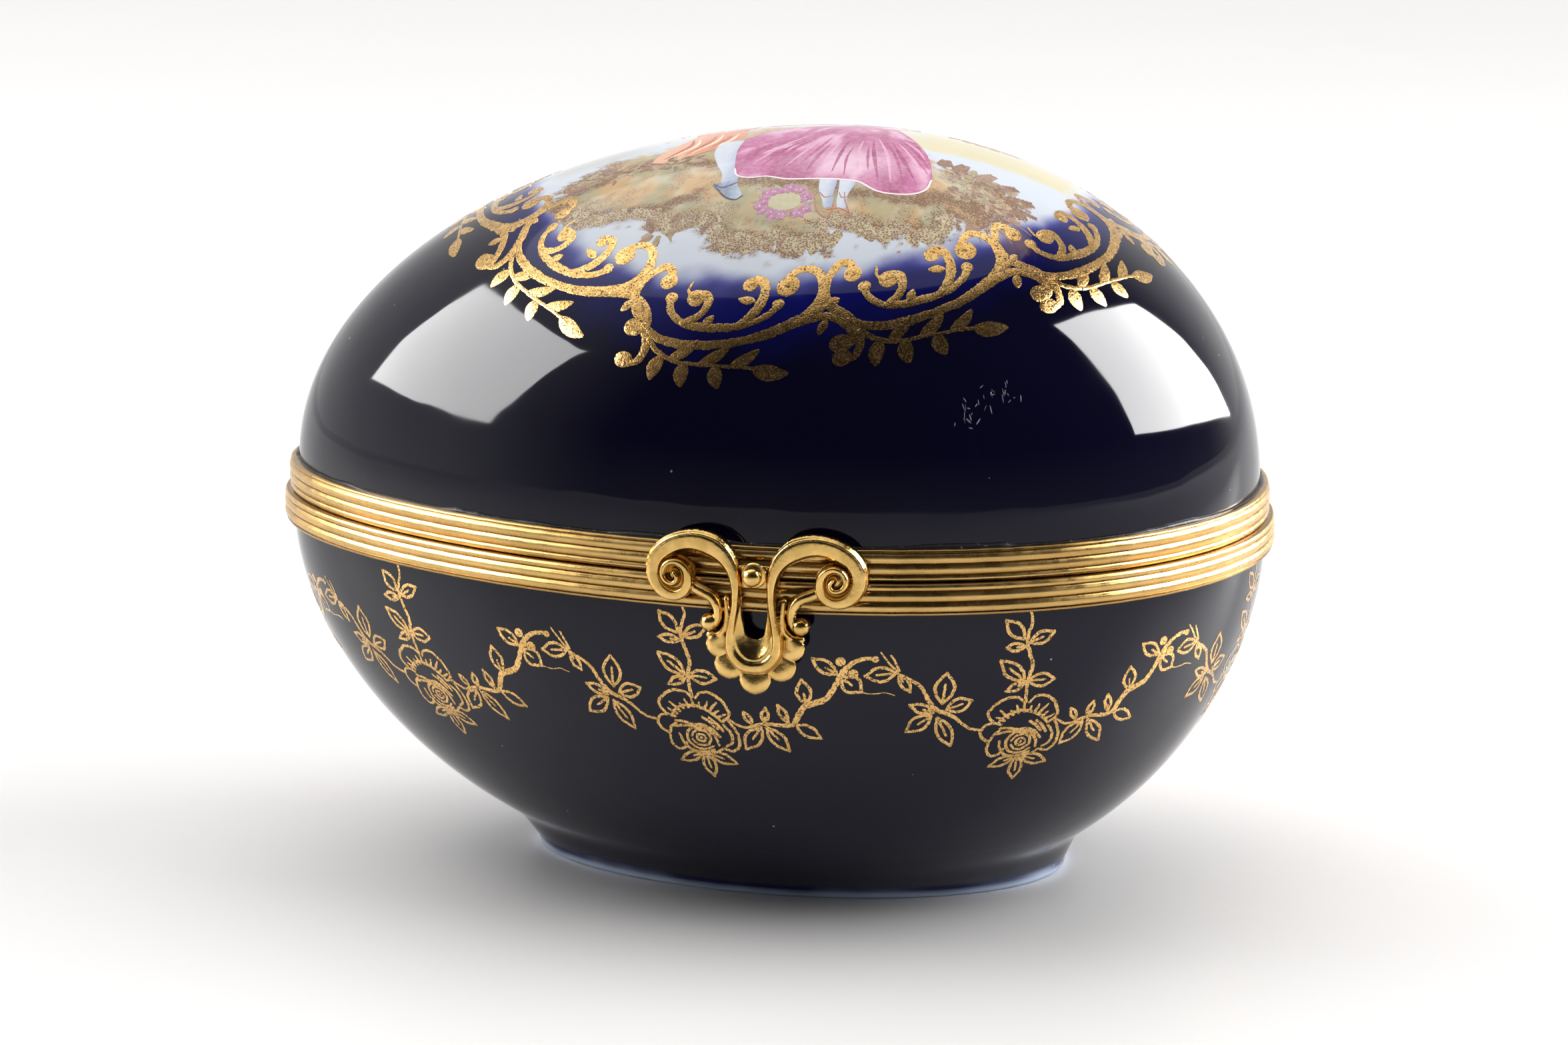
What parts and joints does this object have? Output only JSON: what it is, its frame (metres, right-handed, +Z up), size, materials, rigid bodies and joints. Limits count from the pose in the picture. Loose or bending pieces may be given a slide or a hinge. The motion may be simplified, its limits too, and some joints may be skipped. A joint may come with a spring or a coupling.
{
  "type": "porcelain trinket box",
  "caption": "Egg-shaped glazed porcelain trinket box on an oval foot, with beaded gilt brass rings, a rear hinge and a scroll and shell clasp.",
  "frame": {"origin": "on the ground under the middle of the box's overall bounding box, clasp and hinge included", "axes": "+X towards the blunt end of the egg, along the box; +Y from the clasp to the hinge; +Z up"},
  "size_m": [0.131, 0.1004, 0.0962],
  "materials": {
    "porcelain": "deep cobalt gloss glaze over porcelain, opaque, with gilding and a printed picture on the lid",
    "gilt_brass": "satin gilt, lightly worn",
    "clasp_gilt": "cast and gilt, burnished on the high parts",
    "pin_brass": "drawn wire, dull",
    "bedding_cement": "dry setting cement"
  },
  "bodies": {
    "base": {"base_bowl": "porcelain", "lower_rim": "gilt_brass", "lower_bedding": "bedding_cement", "hinge_leaf_base": "gilt_brass", "knuckle_base_left": "gilt_brass", "knuckle_base_centre": "gilt_brass", "knuckle_base_right": "gilt_brass", "hinge_pin": "pin_brass"},
    "lid": {"lid_dome": "porcelain", "upper_rim": "gilt_brass", "upper_bedding": "bedding_cement", "hinge_leaf_lid": "gilt_brass", "knuckle_lid_left": "gilt_brass", "knuckle_lid_right": "gilt_brass", "clasp": "clasp_gilt", "clasp_rivet": "clasp_gilt"}
  },
  "joints": [
    {"name": "lid_hinge", "type": "hinge", "parent": "base", "child": "lid", "pos_m": [0.00942, 0.04846, 0.04755], "axis": [-1, 0, 0], "range_deg": [0, 95]}
  ]
}
